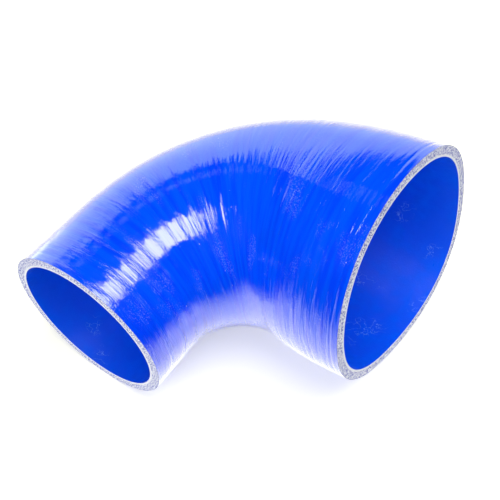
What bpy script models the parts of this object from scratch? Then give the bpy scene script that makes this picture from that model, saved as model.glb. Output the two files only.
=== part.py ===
# Reinforced silicone reducer elbow: one moulded hose piece with a right-angle bend,
# a small mouth facing -Y and a large mouth facing +X. Metres, +Z up. It lies on its
# side as it comes to rest, with the origin under the middle of its bounding box.

import math

import bmesh
import bpy
from mathutils import Matrix, Vector

# Bores and wall
SMALL_BORE = 0.0635
LARGE_BORE = 0.0890
WALL = 0.0045

# Route of the centre line: straight, bend, straight
SMALL_STRAIGHT = 0.026
LARGE_STRAIGHT = 0.033
CROTCH_RADIUS = 0.011        # tightest radius left on the inside of the bend
BEND_ANGLE = math.radians(90)

# The bore is even near each mouth and widens between the two cuffs
SMALL_CUFF = 0.031
LARGE_CUFF = 0.023
TAPER_BLEND = 0.012          # half the length of the curve that joins taper and cuff

# The large end was trimmed a little out of square and isn't quite round:
# each lobe is a count of bulges, their height and the angle of one of them,
# measured from the outer side of the bend towards the top
CUT_LEAN_OUT = math.radians(2.6)
CUT_LEAN_UP = math.radians(1.1)
MOUTH_LOBES = (
    (2, 0.0012, math.radians(-67)),
    (3, 0.0010, math.radians(-44)),
    (4, 0.0009, math.radians(40)),
)
LOBE_REACH = 0.055           # length from the mouth over which the lobes die away

# A face of the hull looks down, and not at a mouth, when its normal falls this steeply
SIDE_FACING = 0.7

# Faceting
SEGMENTS = 60
RINGS = 34

SKIN_COLOUR = (0.0, 0.045, 0.956, 1.0)
SKIN_ROUGHNESS = 0.2
CUT_COLOUR = (0.83, 0.83, 0.89, 1.0)
CUT_ROUGHNESS = 0.9
SHARP_EDGE = math.radians(40)

SMALL_RADIUS = SMALL_BORE / 2
LARGE_RADIUS = LARGE_BORE / 2
BEND_RADIUS = LARGE_RADIUS + WALL + CROTCH_RADIUS
BEND_LENGTH = BEND_RADIUS * BEND_ANGLE
LENGTH = SMALL_STRAIGHT + BEND_LENGTH + LARGE_STRAIGHT
UP = Vector((0, 0, 1))


def clear_scene():
    for obj in list(bpy.data.objects):
        bpy.data.objects.remove(obj, do_unlink=True)


def ease(value):
    """Smooth step from 0 to 1."""
    value = min(max(value, 0.0), 1.0)
    return value * value * (3 - 2 * value)


def centre_line(distance):
    """Point, direction and outward side of the centre line, from the small mouth.

    The bend's centre is the origin; the line starts along +Y and turns to the right.
    """
    turned = min(max((distance - SMALL_STRAIGHT) / BEND_RADIUS, 0.0), BEND_ANGLE)
    outward = Vector((-math.cos(turned), math.sin(turned), 0))
    direction = Vector((math.sin(turned), math.cos(turned), 0))
    before = min(distance - SMALL_STRAIGHT, 0.0)
    after = max(distance - SMALL_STRAIGHT - BEND_LENGTH, 0.0)
    return outward * BEND_RADIUS + direction * (before + after), direction, outward


def bore_radius(distance):
    """Radius of the bore: a straight taper whose two ends are eased into the cuffs."""
    taper = LENGTH - SMALL_CUFF - LARGE_CUFF

    def rounded(past):
        if past <= -TAPER_BLEND:
            return 0.0
        if past >= TAPER_BLEND:
            return past
        return (past + TAPER_BLEND) ** 2 / (4 * TAPER_BLEND)

    along = distance - SMALL_CUFF
    share = (rounded(along) - rounded(along - taper)) / taper
    return SMALL_RADIUS + (LARGE_RADIUS - SMALL_RADIUS) * share


def lobe_height(distance, angle):
    """How far the large end stands off its circle."""
    fade = ease(1 - (LENGTH - distance) / LOBE_REACH)
    return fade * sum(
        height * math.cos(count * (angle - start)) for count, height, start in MOUTH_LOBES
    )


def add_ring(bm, distance, wall):
    """One closed ring of vertices, wall metres outside the bore."""
    centre, direction, outward = centre_line(distance)
    lean = max(1 - (LENGTH - distance) / LARGE_STRAIGHT, 0.0)
    ring = []
    for index in range(SEGMENTS):
        angle = 2 * math.pi * index / SEGMENTS
        radius = bore_radius(distance) + wall + lobe_height(distance, angle)
        side = radius * math.cos(angle)
        rise = radius * math.sin(angle)
        slide = lean * (side * math.tan(CUT_LEAN_OUT) + rise * math.tan(CUT_LEAN_UP))
        ring.append(bm.verts.new(centre + outward * side + UP * rise + direction * slide))
    return ring


def join_rings(bm, first, second, material_index):
    for index in range(SEGMENTS):
        following = (index + 1) % SEGMENTS
        face = bm.faces.new((first[index], first[following], second[following], second[index]))
        face.material_index = material_index


def hose_mesh():
    """The closed wall: bore, outer skin and the two cut ends."""
    bm = bmesh.new()
    distances = [LENGTH * index / RINGS for index in range(RINGS + 1)]
    bore = [add_ring(bm, distance, 0.0) for distance in distances]
    skin = [add_ring(bm, distance, WALL) for distance in distances]
    for rings in (bore, skin):
        for first, second in zip(rings, rings[1:]):
            join_rings(bm, first, second, 0)
    for end in (0, -1):
        join_rings(bm, bore[end], skin[end], 1)
    bmesh.ops.recalc_face_normals(bm, faces=bm.faces)
    mesh = bpy.data.meshes.new("elbow_hose")
    bm.to_mesh(mesh)
    bm.free()
    mesh.shade_smooth()
    mesh.set_sharp_from_angle(angle=SHARP_EDGE)
    return mesh


def middle_of_mass(mesh):
    """Centroid of the solid, from the tetrahedra between its triangles and the origin."""
    mesh.calc_loop_triangles()
    volume = 0.0
    moment = Vector((0, 0, 0))
    for triangle in mesh.loop_triangles:
        a, b, c = (mesh.vertices[index].co for index in triangle.vertices)
        share = a.dot(b.cross(c)) / 6
        volume += share
        moment += share * (a + b + c) / 4
    return moment / volume


def foot_margin(point, face):
    """How far inside a triangle the point's foot lies, as its smallest barycentric share."""
    corners = [vert.co for vert in face.verts]
    shares = []
    for index, corner in enumerate(corners):
        following = corners[(index + 1) % 3]
        shares.append((following - corner).cross(point - corner).dot(face.normal))
    return min(shares) / sum(shares)


def resting_turn(mesh):
    """Rotation that lays the hose on the face of its hull that its weight falls through."""
    weight = middle_of_mass(mesh)
    bm = bmesh.new()
    for vert in mesh.vertices:
        bm.verts.new(vert.co)
    bmesh.ops.convex_hull(bm, input=bm.verts)
    bmesh.ops.triangulate(bm, faces=bm.faces)
    bmesh.ops.recalc_face_normals(bm, faces=bm.faces)
    undersides = [face for face in bm.faces if face.normal.z < -SIDE_FACING]
    floor_face = max(undersides, key=lambda face: foot_margin(weight, face))
    turn = floor_face.normal.rotation_difference(-UP).to_matrix().to_4x4()
    bm.free()
    return turn


def silicone(name, colour, roughness):
    material = bpy.data.materials.new(name)
    material.use_nodes = True
    shader = material.node_tree.nodes["Principled BSDF"]
    shader.inputs["Base Color"].default_value = colour
    shader.inputs["Roughness"].default_value = roughness
    shader.inputs["Metallic"].default_value = 0.0
    material.diffuse_color = colour
    return material


def build():
    clear_scene()
    parts = bpy.data.collections.new("silicone_elbow_hose")
    bpy.context.scene.collection.children.link(parts)
    mesh = hose_mesh()
    mesh.materials.append(silicone("blue_silicone", SKIN_COLOUR, SKIN_ROUGHNESS))
    mesh.materials.append(silicone("cut_plies", CUT_COLOUR, CUT_ROUGHNESS))
    hose = bpy.data.objects.new("elbow_hose", mesh)
    parts.objects.link(hose)

    turn = resting_turn(mesh)
    points = [turn @ vert.co for vert in mesh.vertices]
    low = Vector(min(point[axis] for point in points) for axis in range(3))
    high = Vector(max(point[axis] for point in points) for axis in range(3))
    foot = Vector(((low.x + high.x) / 2, (low.y + high.y) / 2, low.z))
    hose.matrix_world = Matrix.Translation(-foot) @ turn


build()
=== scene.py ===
import math

import bpy
import numpy as np
from mathutils import Matrix, Vector


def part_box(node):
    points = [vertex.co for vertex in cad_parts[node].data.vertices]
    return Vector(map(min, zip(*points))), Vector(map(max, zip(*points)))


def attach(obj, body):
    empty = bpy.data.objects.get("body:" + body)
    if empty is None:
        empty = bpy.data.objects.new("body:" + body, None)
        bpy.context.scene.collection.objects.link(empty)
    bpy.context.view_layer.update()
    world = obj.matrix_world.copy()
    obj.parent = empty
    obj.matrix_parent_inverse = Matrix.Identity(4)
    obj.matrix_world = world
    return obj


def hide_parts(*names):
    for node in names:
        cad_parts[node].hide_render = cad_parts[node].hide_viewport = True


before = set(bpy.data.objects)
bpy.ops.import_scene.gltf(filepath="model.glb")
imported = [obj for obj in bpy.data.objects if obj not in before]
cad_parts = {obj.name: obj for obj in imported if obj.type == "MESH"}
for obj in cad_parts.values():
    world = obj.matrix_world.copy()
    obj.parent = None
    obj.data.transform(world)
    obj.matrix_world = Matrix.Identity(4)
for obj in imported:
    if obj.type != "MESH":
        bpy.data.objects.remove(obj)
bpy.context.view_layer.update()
mm = 0.001
print("frame loaded")


# Helpers for nodes and colours

times = {"operation": "MULTIPLY"}
timesPlus = {"operation": "MULTIPLY_ADD"}      # first times second, plus third
larger = {"operation": "MAXIMUM"}
minus = {"operation": "SUBTRACT"}
placeAlong = {"operation": "DOT_PRODUCT"}      # how far a place lies along a direction
smooth = {"interpolation_type": "SMOOTHSTEP"}  # a range: value, from low, from high, to low, to high
colours = {"data_type": "RGBA"}                # a mix: 0 share, 6 first colour, 7 second colour


def hexColour(text):
    # sRGB hex to the linear values that a shader wants
    values = [int(text[i:i + 2], 16) / 255 for i in (1, 3, 5)]
    return tuple(v / 12.92 if v <= 0.04045 else ((v + 0.055) / 1.055) ** 2.4 for v in values) + (1.0,)


def addNode(tree, kind, settings=None, inputs=()):
    # inputs: a list in socket order, or socket name or number -> a value or another node's output
    node = tree.nodes.new(kind)
    for name, value in (settings or {}).items():
        setattr(node, name, value)
    for name, value in inputs.items() if isinstance(inputs, dict) else enumerate(inputs):
        if isinstance(value, bpy.types.NodeSocket):
            tree.links.new(value, node.inputs[name])
        else:
            node.inputs[name].default_value = value
    return node


def newMaterial(name):
    material = bpy.data.materials.new(name)
    material.use_nodes = True
    tree = material.node_tree
    return material, tree, tree.nodes["Principled BSDF"]


# The hose, in millimetres and degrees

hose = {
    # the frame's solid
    "smallBore": 63.5,
    "largeBore": 89.0,
    "wall": 4.5,
    "smallStraight": 26.0,
    "largeStraight": 33.0,
    "bendRadius": 60.0,
    "bendAngle": 90.0,
    "smallCuff": 31.0,
    "largeCuff": 23.0,
    "taperBlend": 12.0,
    "cutLeanOut": 2.6,
    "cutLeanUp": 1.1,
    "lobes": ((2, 1.2, -67), (3, 1.0, -44), (4, 0.9, 40)),   # count, height, angle of one
    "lobeReach": 55.0,
    "layNormal": (-0.1265, -0.0422, -0.9911),                # side it lies on, before it is laid down
    # the bend comes on over twice this length, and at once in the solid
    "bendBlend": 9.0,
    # ridges that the wrapping tape leaves in the cured skin: pitch along, cells around, height
    "ridges": ((0.6, 26, 0.030), (0.9, 19, 0.034), (1.3, 42, 0.034), (2.0, 12, 0.024)),
    "smallEndShare": 0.5,      # they are shallower at the small end, where the tape was pulled tighter
    "deepenFrom": 16.0,        # distance from the small mouth where they start to deepen
    "deepenOver": 80.0,
    "tautAngle": 80.4,         # round from the outside of the bend, the tape is taut up to here
    "slackAngle": 120.0,       # and slack from here on
    "tautShare": 0.5,          # height of the ridges where it is taut
    "slackShare": 0.8,         # added where it is slack
    "stretchLimits": (0.1, 1.3),   # least and most that the bend changes their height
    # the tape's turns, each overlapping the last
    "lapPitch": 8.2,
    "lapHeight": 0.035,
    "lapWander": (9.0, 5, 0.15),   # pitch along, cells around, share of a turn
    "lapUneven": (11.0, 4, 0.5),   # pitch along, cells around, share of their height
    "lapLargeShare": 0.20,     # they flatten out towards the large end
    "flattenFrom": 50.0,       # distance from the small mouth
    "flattenOver": 40.0,
    "puckerWidth": 0.24,       # share of a turn over which the overlap puckers
    "puckerGain": 3.2,         # height that it adds to the ridges
    "combShare": 0.4,          # how strongly the tape's weave shows
    "combPucker": 2.0,         # and how much more in a pucker
    "tapeEnd": 3.4,            # distance of the last tape edge from the large mouth
    "tapeEndWidth": 0.45,
    "tapeEndDepth": 0.15,
    "linerWaves": ((8.0, 5, 0.05),),   # pitch along, cells around, height
    "cutFray": 0.10,           # how uneven the knife left the cut ends
    # mesh
    "segments": 132,
    "skinRows": 560,
    "linerRows": 110,
    "cutRows": 8,
    "lineSteps": 4001,
    "sharpEdge": 50.0,
    "seed": 7,
}
bendLength = hose["bendRadius"] * math.radians(hose["bendAngle"])
hoseLength = hose["smallStraight"] + bendLength + hose["largeStraight"]


def ease(value):
    value = np.clip(value, 0.0, 1.0)
    return value * value * (3 - 2 * value)


def rounded(past, blend):
    # 0 before, rising one for one after, with a smooth joint
    return np.where(past > blend, past, np.maximum(past + blend, 0) ** 2 / (4 * blend))


def turnedAt(along):
    # how far the centre line has turned, in radians
    past = along - hose["smallStraight"]
    bent = rounded(past, hose["bendBlend"]) - rounded(past - bendLength, hose["bendBlend"])
    return bent / hose["bendRadius"]


def centreLine(along):
    steps = np.linspace(0, hoseLength, hose["lineSteps"])
    turned = turnedAt((steps[1:] + steps[:-1]) / 2)
    east = np.concatenate([[0], np.cumsum(np.sin(turned))]) * steps[1] - hose["bendRadius"]
    north = np.concatenate([[0], np.cumsum(np.cos(turned))]) * steps[1] - hose["smallStraight"]
    zero = np.zeros_like(along)
    centre = np.stack([np.interp(along, steps, east), np.interp(along, steps, north), zero], -1)
    turned = turnedAt(along)
    outward = np.stack([-np.cos(turned), np.sin(turned), zero], -1)
    direction = np.stack([np.sin(turned), np.cos(turned), zero], -1)
    return centre, direction, outward


def boreRadius(along):
    taper = hoseLength - hose["smallCuff"] - hose["largeCuff"]
    past = along - hose["smallCuff"]
    share = (rounded(past, hose["taperBlend"]) - rounded(past - taper, hose["taperBlend"])) / taper
    return (hose["smallBore"] + (hose["largeBore"] - hose["smallBore"]) * share) / 2


def latticeNoise(along, turns, pitch, cells, rng):
    # smooth noise from -1 to 1 that closes on itself round the hose
    rows = int(hoseLength / pitch) + 4
    lattice = rng.uniform(-1, 1, (rows, cells))
    row = along / pitch + 1
    column = turns * cells
    rowBefore = np.floor(row).astype(int)
    columnBefore = np.floor(column).astype(int)
    rowShare = ease(row - rowBefore)
    columnShare = ease(column - columnBefore)
    rowBefore = np.clip(rowBefore, 0, rows - 2)
    left, right = columnBefore % cells, (columnBefore + 1) % cells
    near = lattice[rowBefore, left] * (1 - columnShare) + lattice[rowBefore, right] * columnShare
    far = lattice[rowBefore + 1, left] * (1 - columnShare) + lattice[rowBefore + 1, right] * columnShare
    return near * (1 - rowShare) + far * rowShare


def reliefOf(waves, along, turns, rng):
    return sum(height * latticeNoise(along, turns, pitch, cells, rng) for pitch, cells, height in waves)


def hoseRows():
    # one closed loop of rows: skin, large cut end, liner back, small cut end
    skin = np.linspace(0, hoseLength, hose["skinRows"] + 1)
    liner = np.linspace(hoseLength, 0, hose["linerRows"] + 1)
    across = np.linspace(0, 1, hose["cutRows"] + 1)[1:-1]
    along = np.concatenate([skin, np.full(len(across), hoseLength), liner, np.zeros(len(across))])
    depth = np.concatenate([np.zeros(len(skin)), across, np.ones(len(liner)), across[::-1]])
    region = np.concatenate([np.zeros(len(skin) - 1), np.ones(len(across) + 1),
                             np.full(len(liner) - 1, 2), np.ones(len(across) + 1)])
    return along, depth, region.astype(int)


def tapeMarks(along, turn, angle, rng):
    # height of the marks in the skin, and how puckered each spot is
    deeper = ease((along - hose["deepenFrom"]) / hose["deepenOver"])
    marks = reliefOf(hose["ridges"], along, turn, rng)
    marks = marks * (hose["smallEndShare"] + (1 - hose["smallEndShare"]) * deeper)
    lap = along / hose["lapPitch"] + turn + reliefOf((hose["lapWander"],), along, turn, rng)

    # the overlaps pucker, except round the outside of the bend, where the tape is taut
    tautSide = math.cos(math.radians(hose["tautAngle"]))
    slackSide = math.cos(math.radians(hose["slackAngle"]))
    slack = np.clip((tautSide - np.cos(angle)) / (tautSide - slackSide), 0, 1)
    flatter = 1 - (1 - hose["lapLargeShare"]) * ease((along - hose["flattenFrom"]) / hose["flattenOver"])
    pucker = np.exp(-((lap % 1 - 0.5) / hose["puckerWidth"]) ** 2) * slack * flatter
    marks = marks * (hose["tautShare"] + hose["slackShare"] * slack + hose["puckerGain"] * pucker)

    lapShare = flatter * (1 + reliefOf((hose["lapUneven"],), along, turn, rng))
    marks = marks + hose["lapHeight"] * lapShare * np.sin(2 * math.pi * lap)
    tapeEnd = np.exp(-((hoseLength - hose["tapeEnd"] - along) / hose["tapeEndWidth"]) ** 2)
    return marks - hose["tapeEndDepth"] * tapeEnd, pucker


def hoseMesh(points, region, sharpEdge):
    rows, columns = points.shape[:2]
    here = np.arange(rows * columns).reshape(rows, columns)
    beside = np.roll(here, -1, 1)
    faces = np.stack([here, beside, np.roll(beside, -1, 0), np.roll(here, -1, 0)], -1).reshape(-1, 4)
    mesh = bpy.data.meshes.new("hose")
    mesh.from_pydata(points.reshape(-1, 3).tolist(), [], faces.tolist())
    mesh.polygons.foreach_set("material_index", np.repeat(region, columns).astype(np.int32))
    mesh.polygons.foreach_set("use_smooth", np.ones(len(faces), bool))
    mesh.update()
    mesh.set_sharp_from_angle(angle=math.radians(sharpEdge))
    return mesh


def buildHose():
    rng = np.random.default_rng(hose["seed"])
    rowAlong, rowDepth, region = hoseRows()
    turns = np.arange(hose["segments"]) / hose["segments"]
    along, turn = np.meshgrid(rowAlong, turns, indexing="ij")
    depth = np.repeat(rowDepth[:, None], hose["segments"], 1)   # 0 at the skin, 1 at the liner
    angle = turn * 2 * math.pi

    fade = ease(1 - (hoseLength - along) / hose["lobeReach"])
    lobes = sum(height * np.cos(count * (angle - math.radians(start)))
                for count, height, start in hose["lobes"])
    radius = boreRadius(along) + lobes * fade + hose["wall"] * (1 - depth)

    skinRelief, pucker = tapeMarks(along, turn, angle, rng)
    linerRelief = reliefOf(hose["linerWaves"], along, turn, rng)
    # round the bend the tape bunches inside and spreads outside, so the marks grow with the length of skin
    bending = turnedAt(along + 0.5) - turnedAt(along - 0.5)      # radians in a millimetre
    stretch = 1 + radius * np.cos(angle) * bending
    relief = skinRelief * (1 - depth) + linerRelief * depth
    radius = radius + np.clip(stretch, *hose["stretchLimits"]) * relief

    lean = np.maximum(1 - (hoseLength - along) / hose["largeStraight"], 0)
    side, rise = radius * np.cos(angle), radius * np.sin(angle)
    slide = lean * (side * math.tan(math.radians(hose["cutLeanOut"]))
                    + rise * math.tan(math.radians(hose["cutLeanUp"])))
    inside = (depth > 0) & (depth < 1)
    slide = slide + np.where(inside, rng.uniform(-1, 1, along.shape) * hose["cutFray"], 0)

    centre, direction, outward = centreLine(along)
    points = centre + outward * side[..., None] + direction * slide[..., None]
    points[..., 2] += rise

    # lay it down as the solid lies, then stand its box where the solid's box stands
    layTurn = Vector(hose["layNormal"]).normalized().rotation_difference(Vector((0, 0, -1)))
    points = points @ np.array(layTurn.to_matrix()).T * mm
    low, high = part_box("elbow_hose")
    middle = (np.array(low) + np.array(high)) / 2
    points += middle - (points.min((0, 1)) + points.max((0, 1))) / 2
    mesh = hoseMesh(points, region, hose["sharpEdge"])

    # patterns follow these: millimetres along the hose and across it, share of the wall, weave
    ring = boreRadius(along) + hose["wall"] * (1 - depth)
    laid = np.stack([along, ring * np.cos(angle), ring * np.sin(angle)], -1)
    combed = stretch * (hose["combShare"] + hose["combPucker"] * pucker)
    mesh.attributes.new("laid", "FLOAT_VECTOR", "POINT").data.foreach_set("vector", laid.ravel())
    mesh.attributes.new("ply", "FLOAT", "POINT").data.foreach_set("value", (1 - depth).ravel())
    mesh.attributes.new("combed", "FLOAT", "POINT").data.foreach_set("value", combed.ravel())
    piece = bpy.data.objects.new("elbow_hose_wrapped", mesh)
    bpy.context.scene.collection.objects.link(piece)
    return piece


# Materials

def laidCoords(tree, alongMm, aroundMm):
    # the laid coordinates divided by a pattern's size along and round the hose
    laid = addNode(tree, "ShaderNodeAttribute", {"attribute_name": "laid"}).outputs["Vector"]
    scale = (1 / alongMm, 1 / aroundMm, 1 / aroundMm)
    return addNode(tree, "ShaderNodeMapping", None, {"Vector": laid, "Scale": scale}).outputs[0]


def mottle(tree, alongMm, aroundMm, detail):
    # soft noise whose blots have this size on the hose
    coords = laidCoords(tree, alongMm, aroundMm)
    noise = addNode(tree, "ShaderNodeTexNoise", None, {"Vector": coords, "Scale": 1.0, "Detail": detail})
    return noise.outputs["Fac"]


silicone = {
    "colour": "#0052FF",
    "deepColour": "#0042FC",
    "dustColour": "#B9C6FF",
    "ior": 1.52,
    "roughness": 0.06,
    "roughest": 0.11,
    "coatRoughness": 0.025,
    "coatIor": 1.6,
    # patterns: millimetres along the hose, millimetres round it, detail
    "weave": (0.55, 5.0, 3.0),     # the tape's threads are about 0.3 mm apart, drawn coarser to show
    "broad": (2.6, 30.0, 2.0),
    "grain": (0.6, 1.5, 2.0),
    "patches": (14.0, 22.0, 2.0),
    "scuffs": (0.4, 0.6, 3.0),
    "weaveHeight": 0.00015,        # metres
    "broadShare": 1.4,
    "grainShare": 0.45,
    "colourRange": (0.35, 0.7),    # the noise values between which a pattern comes on
    "roughRange": (0.4, 0.65),
    "scuffRange": (0.54, 0.66),
    "scuffPatches": (0.55, 0.66, 0.0, 0.22),
    "dustPitch": 3.0,
    "dustSize": 0.07,              # radius, as a share of the pitch
    "dustMissing": 0.93,           # share of the specks left out
}


def wrappedSilicone():
    # silicone rubber cured under nylon tape: a wet gloss, combed crosswise by the tape's weave
    material, tree, shader = newMaterial("wrappedSiliconeSkin")
    broad = mottle(tree, *silicone["broad"])
    patches = mottle(tree, *silicone["patches"])
    deeper = addNode(tree, "ShaderNodeMapRange", smooth, [broad, *silicone["colourRange"]]).outputs[0]
    colour = addNode(tree, "ShaderNodeMix", colours, {
        0: deeper, 6: hexColour(silicone["colour"]), 7: hexColour(silicone["deepColour"])}).outputs[2]

    # a little dust and some scuffed patches
    coords = laidCoords(tree, silicone["dustPitch"], silicone["dustPitch"])
    specks = addNode(tree, "ShaderNodeTexVoronoi", None, {"Vector": coords, "Scale": 1.0}).outputs
    chance = addNode(tree, "ShaderNodeSeparateColor", None, [specks["Color"]]).outputs[0]
    kept = addNode(tree, "ShaderNodeMath", {"operation": "GREATER_THAN"}, [
        chance, silicone["dustMissing"]]).outputs[0]
    small = addNode(tree, "ShaderNodeMath", {"operation": "LESS_THAN"}, [
        specks["Distance"], silicone["dustSize"]]).outputs[0]
    dust = addNode(tree, "ShaderNodeMath", times, [small, kept]).outputs[0]
    scuffs = mottle(tree, *silicone["scuffs"])
    scuffed = addNode(tree, "ShaderNodeMapRange", smooth, [scuffs, *silicone["scuffRange"]]).outputs[0]
    where = addNode(tree, "ShaderNodeMapRange", smooth, [patches, *silicone["scuffPatches"]]).outputs[0]
    scuffed = addNode(tree, "ShaderNodeMath", times, [scuffed, where]).outputs[0]
    dust = addNode(tree, "ShaderNodeMath", larger, [dust, scuffed]).outputs[0]
    dusty = addNode(tree, "ShaderNodeMix", colours, {
        0: dust, 6: colour, 7: hexColour(silicone["dustColour"])}).outputs[2]
    tree.links.new(dusty, shader.inputs["Base Color"])

    roughness = [patches, *silicone["roughRange"], silicone["roughness"], silicone["roughest"]]
    rough = addNode(tree, "ShaderNodeMapRange", smooth, roughness).outputs[0]
    tree.links.new(rough, shader.inputs["Roughness"])

    weave = mottle(tree, *silicone["weave"])
    grain = mottle(tree, *silicone["grain"])
    height = addNode(tree, "ShaderNodeMath", timesPlus, [broad, silicone["broadShare"], weave]).outputs[0]
    height = addNode(tree, "ShaderNodeMath", timesPlus, [grain, silicone["grainShare"], height]).outputs[0]
    combed = addNode(tree, "ShaderNodeAttribute", {"attribute_name": "combed"}).outputs["Fac"]
    relief = addNode(tree, "ShaderNodeMath", times, [combed, silicone["weaveHeight"]]).outputs[0]
    bump = addNode(tree, "ShaderNodeBump", None, {"Height": height, "Strength": 1.0, "Distance": relief})
    tree.links.new(bump.outputs[0], shader.inputs["Normal"])
    tree.links.new(bump.outputs[0], shader.inputs["Coat Normal"])
    shader.inputs["IOR"].default_value = silicone["ior"]
    shader.inputs["Coat Weight"].default_value = 1.0
    shader.inputs["Coat Roughness"].default_value = silicone["coatRoughness"]
    shader.inputs["Coat IOR"].default_value = silicone["coatIor"]
    return material


liner = {
    "colour": "#0058F4",
    "rubbedColour": "#0062FA",
    # painted highlight: the pale colour of the curled glints in the bore
    "glintColour": "#6FA2FF",
    "ior": 1.40,
    "roughness": (0.5, 0.26),      # plain and rubbed
    # patterns: millimetres along the hose, millimetres round it, detail
    "rubs": (9.0, 9.0, 4.0),
    "curls": (4.0, 4.0, 3.0),
    "spots": (17.0, 17.0, 0.0),
    "grain": (0.7, 0.7, 2.0),
    "rubRange": (0.4, 0.75),
    "roughRange": (0.2, 0.8),
    "glintEdge": (0.012, 0.003),
    "spotRange": (0.63, 0.73, 0.0, 0.8),
    "grainStrength": 0.6,
    "grainHeight": 0.0001,         # metres
}


def siliconeLiner():
    # silicone rubber moulded on a polished mandrel: even satin, a few rubbed marks
    material, tree, shader = newMaterial("mouldedSiliconeLiner")
    rubs = mottle(tree, *liner["rubs"])
    rubbed = addNode(tree, "ShaderNodeMapRange", smooth, [rubs, *liner["rubRange"]]).outputs[0]
    colour = addNode(tree, "ShaderNodeMix", colours, {
        0: rubbed, 6: hexColour(liner["colour"]), 7: hexColour(liner["rubbedColour"])}).outputs[2]

    # pale curled hairlines in a few spots, painted highlights where the liner mirrors the light: they run
    # where the noise is at its middle value
    curl = addNode(tree, "ShaderNodeMath", minus, [mottle(tree, *liner["curls"]), 0.5]).outputs[0]
    curl = addNode(tree, "ShaderNodeMath", {"operation": "ABSOLUTE"}, [curl]).outputs[0]
    hairline = addNode(tree, "ShaderNodeMapRange", smooth, [curl, *liner["glintEdge"]]).outputs[0]
    spots = mottle(tree, *liner["spots"])
    where = addNode(tree, "ShaderNodeMapRange", smooth, [spots, *liner["spotRange"]]).outputs[0]
    paintedGlint = addNode(tree, "ShaderNodeMath", times, [hairline, where]).outputs[0]
    glinted = addNode(tree, "ShaderNodeMix", colours, {
        0: paintedGlint, 6: colour, 7: hexColour(liner["glintColour"])}).outputs[2]
    tree.links.new(glinted, shader.inputs["Base Color"])

    roughness = [rubs, *liner["roughRange"], *liner["roughness"]]
    rough = addNode(tree, "ShaderNodeMapRange", smooth, roughness).outputs[0]
    tree.links.new(rough, shader.inputs["Roughness"])
    bump = addNode(tree, "ShaderNodeBump", None, {
        "Height": mottle(tree, *liner["grain"]),
        "Strength": liner["grainStrength"],
        "Distance": liner["grainHeight"]})
    tree.links.new(bump.outputs[0], shader.inputs["Normal"])
    shader.inputs["IOR"].default_value = liner["ior"]
    return material


cutEnd = {
    "cloth": "#EDF0FF",
    "gap": "#7880CC",
    "rim": "#A6AAD6",
    "ior": 1.45,
    "roughness": 0.85,
    "yarn": (0.65, 0.65, 2.0),     # yarn ends are about 0.6 mm apart, drawn a little coarser to show
    "gapRange": (0.47, 0.56),
    "linerBand": (0.14, 0.26),     # share of the wall, from the liner, in which the cloth starts
    "rimBand": (0.90, 0.99, 0.0, 0.75),
    "yarnStrength": 0.4,
    "yarnHeight": 0.0002,          # metres
}


def cutPolyesterPlies():
    # knife-cut polyester cloth in silicone: white yarn ends with grey gaps, a plain band at the liner
    material, tree, shader = newMaterial("cutPolyesterPlies")
    yarn = mottle(tree, *cutEnd["yarn"])
    ply = addNode(tree, "ShaderNodeAttribute", {"attribute_name": "ply"}).outputs["Fac"]
    cloth = addNode(tree, "ShaderNodeMapRange", smooth, [ply, *cutEnd["linerBand"]]).outputs[0]
    gaps = addNode(tree, "ShaderNodeMapRange", smooth, [yarn, *cutEnd["gapRange"]]).outputs[0]
    gaps = addNode(tree, "ShaderNodeMath", times, [gaps, cloth]).outputs[0]
    colour = addNode(tree, "ShaderNodeMix", colours, {
        0: gaps, 6: hexColour(cutEnd["cloth"]), 7: hexColour(cutEnd["gap"])}).outputs[2]
    rim = addNode(tree, "ShaderNodeMapRange", smooth, [ply, *cutEnd["rimBand"]]).outputs[0]
    rimmed = addNode(tree, "ShaderNodeMix", colours, {
        0: rim, 6: colour, 7: hexColour(cutEnd["rim"])}).outputs[2]
    tree.links.new(rimmed, shader.inputs["Base Color"])
    bump = addNode(tree, "ShaderNodeBump", None, {
        "Height": yarn, "Strength": cutEnd["yarnStrength"], "Distance": cutEnd["yarnHeight"]})
    tree.links.new(bump.outputs[0], shader.inputs["Normal"])
    shader.inputs["Roughness"].default_value = cutEnd["roughness"]
    shader.inputs["IOR"].default_value = cutEnd["ior"]
    return material


hosePiece = buildHose()
for material in (wrappedSilicone(), cutPolyesterPlies(), siliconeLiner()):
    hosePiece.data.materials.append(material)
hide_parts("elbow_hose")
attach(hosePiece, "root")
print("hose built:", len(hosePiece.data.polygons), "faces")


# Camera, from the photograph's perspective, in metres and degrees

camera = {
    "aim": (0.0032, -0.0031, 0.045),
    "distance": 0.3072,
    "below": 49.9,             # how far it looks down
    "heading": -36.7,          # from +Y towards +X
    "roll": -1.66,
    "lens": 54.0,
    "sensor": 36.0,
}


def placeCamera():
    data = bpy.data.cameras.new("camera")
    data.lens = camera["lens"]
    data.sensor_width = camera["sensor"]
    turn = (Matrix.Rotation(-math.radians(camera["heading"]), 4, "Z")
            @ Matrix.Rotation(math.radians(90 - camera["below"]), 4, "X")
            @ Matrix.Rotation(math.radians(camera["roll"]), 4, "Z"))
    back = turn @ Vector((0, 0, camera["distance"]))
    obj = bpy.data.objects.new("camera", data)
    obj.matrix_world = Matrix.Translation(Vector(camera["aim"]) + back) @ turn
    bpy.context.scene.collection.objects.link(obj)
    bpy.context.scene.camera = obj


# Table, in metres

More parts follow.
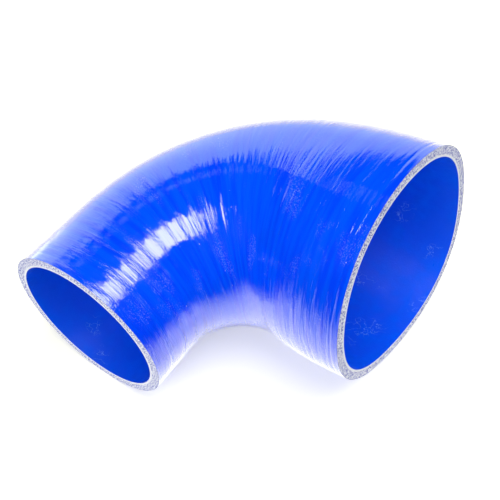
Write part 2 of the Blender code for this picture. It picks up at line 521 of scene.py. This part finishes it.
table = {
    # distances behind the hose and to its right, as the camera sees it
    "corners": ((-0.16, -1.64), (-0.16, 3.0), (2.81, 3.0)),
    "drop": 0.0002,                # below the hose's lowest point
    "colour": "#FBF9E3",           # warm, so that the hose's blue light doesn't tint its shadow
    "roughness": 0.9,
    "glow": 0.42,                  # seen directly
    "seenTint": "#FFFFF4",
    "reflectedTint": "#F2F0D4",
    # glow in reflections, and where it changes, measured backwards from the hose's middle
    "nearGlow": 1.2,               # just in front of the hose
    "shadeGlow": 0.3,              # under it
    "farGlow": 0.35,               # added behind it
    "shadeEdge": (-0.034, -0.016),
    "farEdge": (0.05, 0.09),
    "darkEdge": (-0.140, -0.042),  # in front of this the table fades to dark
}


def mattWhiteCard(forward):
    # matt white card: plain white with a soft shadow, brighter or darker by place where the hose mirrors it
    material, tree, shader = newMaterial("mattWhiteCard")
    shader.inputs["Base Color"].default_value = hexColour(table["colour"])
    shader.inputs["Roughness"].default_value = table["roughness"]
    shader.inputs["Specular IOR Level"].default_value = 0.0
    paths = addNode(tree, "ShaderNodeLightPath").outputs
    mirrored = paths["Is Glossy Ray"]
    place = addNode(tree, "ShaderNodeTexCoord").outputs["Object"]
    behind = addNode(tree, "ShaderNodeVectorMath", placeAlong, [place, forward]).outputs["Value"]

    nearRange = [behind, *table["shadeEdge"], table["nearGlow"], table["shadeGlow"]]
    near = addNode(tree, "ShaderNodeMapRange", smooth, nearRange).outputs[0]
    farRange = [behind, *table["farEdge"], 0.0, table["farGlow"]]
    far = addNode(tree, "ShaderNodeMapRange", smooth, farRange).outputs[0]
    reflected = addNode(tree, "ShaderNodeMath", {"operation": "ADD"}, [near, far]).outputs[0]
    seenRays = [paths["Is Camera Ray"], paths["Is Transmission Ray"]]
    seen = addNode(tree, "ShaderNodeMath", larger, seenRays).outputs[0]
    seen = addNode(tree, "ShaderNodeMath", times, [seen, table["glow"]]).outputs[0]
    strength = addNode(tree, "ShaderNodeMath", timesPlus, [mirrored, reflected, seen]).outputs[0]
    tint = addNode(tree, "ShaderNodeMix", colours, {
        0: mirrored, 6: hexColour(table["seenTint"]), 7: hexColour(table["reflectedTint"])}).outputs[2]
    glow = addNode(tree, "ShaderNodeEmission", None, {"Color": tint, "Strength": strength}).outputs[0]
    lit = addNode(tree, "ShaderNodeAddShader", None, [shader.outputs[0], glow]).outputs[0]

    dark = addNode(tree, "ShaderNodeEmission", None, {"Strength": 0.0}).outputs[0]
    faded = addNode(tree, "ShaderNodeMapRange", smooth, [behind, *table["darkEdge"], 1.0, 0.0]).outputs[0]
    share = addNode(tree, "ShaderNodeMath", times, [faded, mirrored]).outputs[0]
    both = addNode(tree, "ShaderNodeMixShader", None, [share, lit, dark]).outputs[0]
    tree.links.new(both, tree.nodes["Material Output"].inputs["Surface"])
    return material


def buildTable():
    # it ends at the foot of the card behind, and in front where the dark room starts
    heading = math.radians(camera["heading"])
    forward = Vector((math.sin(heading), math.cos(heading), 0))
    right = Vector((forward.y, -forward.x, 0))
    down = Vector((0, 0, -table["drop"]))
    corners = [forward * back + right * across + down for back, across in table["corners"]]
    mesh = bpy.data.meshes.new("table")
    mesh.from_pydata([tuple(corner) for corner in corners], [], [tuple(range(len(corners)))])
    mesh.materials.append(mattWhiteCard(forward))
    obj = bpy.data.objects.new("table_top", mesh)
    bpy.context.scene.collection.objects.link(obj)


# Light, in metres: a dim room, a white card leaning in from behind, a softbox overhead

room = {
    "ambient": 0.27,           # what lights the hose
    "dim": 0.003,              # what it mirrors
}


def buildWorld():
    world = bpy.data.worlds.new("studio")
    bpy.context.scene.world = world
    world.use_nodes = True
    tree = world.node_tree
    tree.nodes.clear()
    paths = addNode(tree, "ShaderNodeLightPath").outputs
    lit = addNode(tree, "ShaderNodeMix", {"data_type": "FLOAT"}, {
        0: paths["Is Glossy Ray"], 2: room["ambient"], 3: room["dim"]}).outputs[0]
    strength = addNode(tree, "ShaderNodeMath", larger, [lit, paths["Is Camera Ray"]]).outputs[0]
    light = addNode(tree, "ShaderNodeBackground", None, {"Color": (1, 1, 1, 1), "Strength": strength})
    addNode(tree, "ShaderNodeOutputWorld", None, {"Surface": light.outputs[0]})


# at: centre; away: where its back points; long: direction of the long side; radiance: 1 is white
lamps = {
    "overheadSoftbox": {"at": (0.23, -0.14, 0.81), "away": (0.30, -0.12, 0.95), "long": (0.26, 0.96, 0),
                        "size": (0.80, 0.38), "radiance": 8.2, "seenBy": "glossy"},
    "leaningCard": {"at": (-0.391, 0.862, 0.061), "away": (-0.566, 0.214, 0.796),
                    "long": (-0.317, -0.948, 0.029), "size": (1.503, 0.866),
                    "radiance": 1.5, "colour": "#E8FCFF", "seenBy": "glossy",
                    "fade": (0.6, 0.3, 0.75)},     # from here to here along it, to this share
    "leftCard": {"at": (-0.30, -0.01, 0.12), "away": (-1, 0, 0), "long": (0, 1, 0),
                 "size": (0.10, 0.24), "radiance": 1.5, "colour": "#E8FCFF", "seenBy": "glossy"},
    "farTube": {"at": (-0.425, 0.1, 0.721), "away": (-0.47, 0.16, 0.865), "long": (-0.387, -0.922, -0.03),
                "size": (0.20, 0.06), "radiance": 0.7, "colour": "#E8FCFF", "seenBy": "glossy"},
    "overheadFill": {"at": (0.25, 0.1, 1.0), "away": (0.25, 0.1, 1.0), "long": (1, 0, 0),
                     "size": (0.9, 0.9), "radiance": 3.2, "seenBy": "diffuse"},
    "frontFill": {"at": (0.1, -1.0, 0.6), "away": (0.1, -0.9, 0.5), "long": (1, 0.1, 0),
                  "size": (1.2, 0.8), "radiance": 2.6, "seenBy": "diffuse"},
}


def fadeLamp(data, lamp, along):
    # a card that gets darker towards one end
    tree = data.node_tree
    place = addNode(tree, "ShaderNodeNewGeometry").outputs["Position"]
    offset = addNode(tree, "ShaderNodeVectorMath", minus, [place, lamp["at"]]).outputs[0]
    run = addNode(tree, "ShaderNodeVectorMath", placeAlong, [offset, along]).outputs["Value"]
    start, end, share = lamp["fade"]
    strength = addNode(tree, "ShaderNodeMapRange", smooth, [run, end, start, share, 1.0]).outputs[0]
    tree.links.new(strength, tree.nodes["Emission"].inputs["Strength"])


def buildLamps():
    for name, lamp in lamps.items():
        data = bpy.data.lights.new(name, "AREA")
        data.shape = "RECTANGLE"
        data.size, data.size_y = lamp["size"]
        data.energy = lamp["radiance"] * math.pi * data.size * data.size_y
        data.color = hexColour(lamp.get("colour", "#FFFFFF"))[:3]
        away = Vector(lamp["away"]).normalized()
        along = Vector(lamp["long"])
        along = (along - along.dot(away) * away).normalized()
        turn = Matrix((along, away.cross(along), away)).transposed().to_4x4()
        if "fade" in lamp:
            data.use_nodes = True
            fadeLamp(data, lamp, along)
        obj = bpy.data.objects.new(name, data)
        obj.matrix_world = Matrix.Translation(Vector(lamp["at"])) @ turn
        obj.visible_diffuse = lamp["seenBy"] == "diffuse"
        obj.visible_glossy = lamp["seenBy"] == "glossy"
        obj.visible_camera = False
        bpy.context.scene.collection.objects.link(obj)


placeCamera()
buildTable()
buildWorld()
buildLamps()
bpy.context.scene.view_settings.view_transform = "Standard"
print("table, light and camera set")
